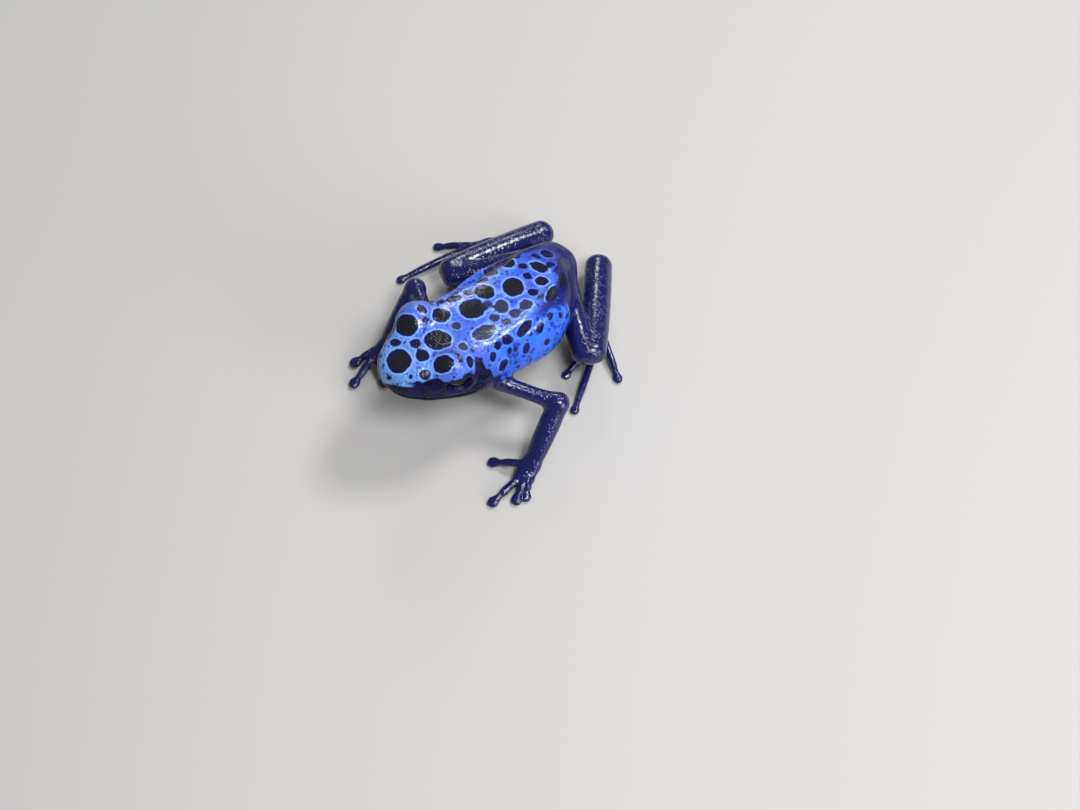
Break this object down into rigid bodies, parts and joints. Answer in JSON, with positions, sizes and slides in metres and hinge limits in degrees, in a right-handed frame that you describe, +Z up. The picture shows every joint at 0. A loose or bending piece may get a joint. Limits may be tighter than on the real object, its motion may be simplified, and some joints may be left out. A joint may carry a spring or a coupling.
{
  "type": "blue poison dart frog",
  "caption": "Life-size still model of a blue poison dart frog sitting with its head raised, legs folded and hands spread on the floor.",
  "frame": {"origin": "on the floor that the frog rests on, below the middle of the box that holds it", "axes": "+Z up, the frog faces -Y, its left side is +X"},
  "size_m": [0.0435, 0.0446, 0.0205],
  "materials": {
    "blue_skin": "wet, finely granular skin, sky blue on the head to azure on the flanks, with round dark spots",
    "navy_skin": "wet, finely granular skin, deep navy blue",
    "eye": "wet and mirror smooth, near black"
  },
  "bodies": {
    "root": {"head": "blue_skin", "torso": "blue_skin", "left_eye": "eye", "left_upper_arm": "navy_skin", "left_forearm": "navy_skin", "left_hand": "navy_skin", "left_thigh": "navy_skin", "left_shank": "navy_skin", "left_tarsus": "navy_skin", "left_foot": "navy_skin", "right_eye": "eye", "right_upper_arm": "navy_skin", "right_forearm": "navy_skin", "right_hand": "navy_skin", "right_thigh": "navy_skin", "right_shank": "navy_skin", "right_tarsus": "navy_skin", "right_foot": "navy_skin"}
  },
  "joints": []
}
